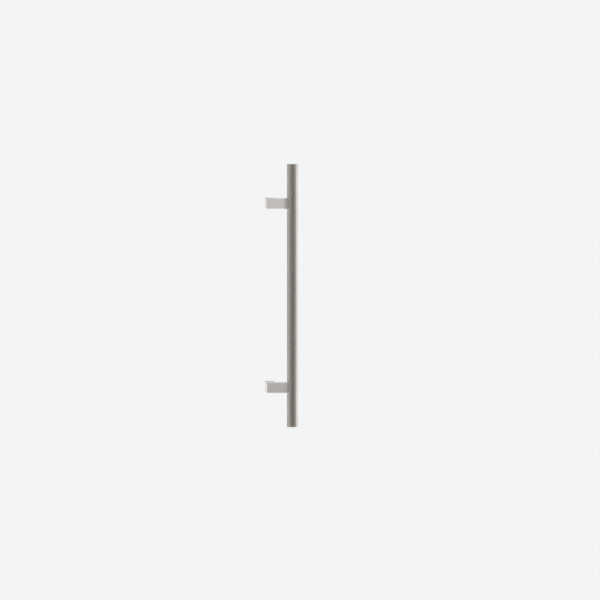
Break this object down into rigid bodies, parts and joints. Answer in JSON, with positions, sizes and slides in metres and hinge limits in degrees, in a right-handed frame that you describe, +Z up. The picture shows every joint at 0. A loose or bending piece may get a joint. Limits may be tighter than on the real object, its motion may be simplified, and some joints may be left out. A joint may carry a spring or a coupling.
{
  "type": "door push bar",
  "caption": "Straight round push bar held off a door by offset L-shaped square supports, with flat end caps and threaded studs that fix it through the door leaf.",
  "frame": {"origin": "on the door's face, midway between the two fixing studs", "axes": "+Z up along the bar, +Y into the door along the studs, +X from the posts towards the bar"},
  "size_m": [0.0705, 0.1025, 0.6],
  "materials": {
    "bar_steel": "satin stainless steel, fine grain along the bar",
    "support_steel": "satin stainless steel, fine grain along the arm",
    "fixing_steel": "plain turned stainless steel"
  },
  "bodies": {
    "root": {"grip_tube": "bar_steel", "end_cap_top": "bar_steel", "end_cap_bottom": "bar_steel", "support_upper": "support_steel", "support_lower": "support_steel", "tube_insert_upper": "fixing_steel", "tube_insert_lower": "fixing_steel", "bar_lock_screw_upper": "fixing_steel", "bar_lock_screw_lower": "fixing_steel", "door_stud_upper": "fixing_steel", "door_stud_lower": "fixing_steel", "stud_lock_screw_upper": "fixing_steel", "stud_lock_screw_lower": "fixing_steel"}
  },
  "joints": []
}
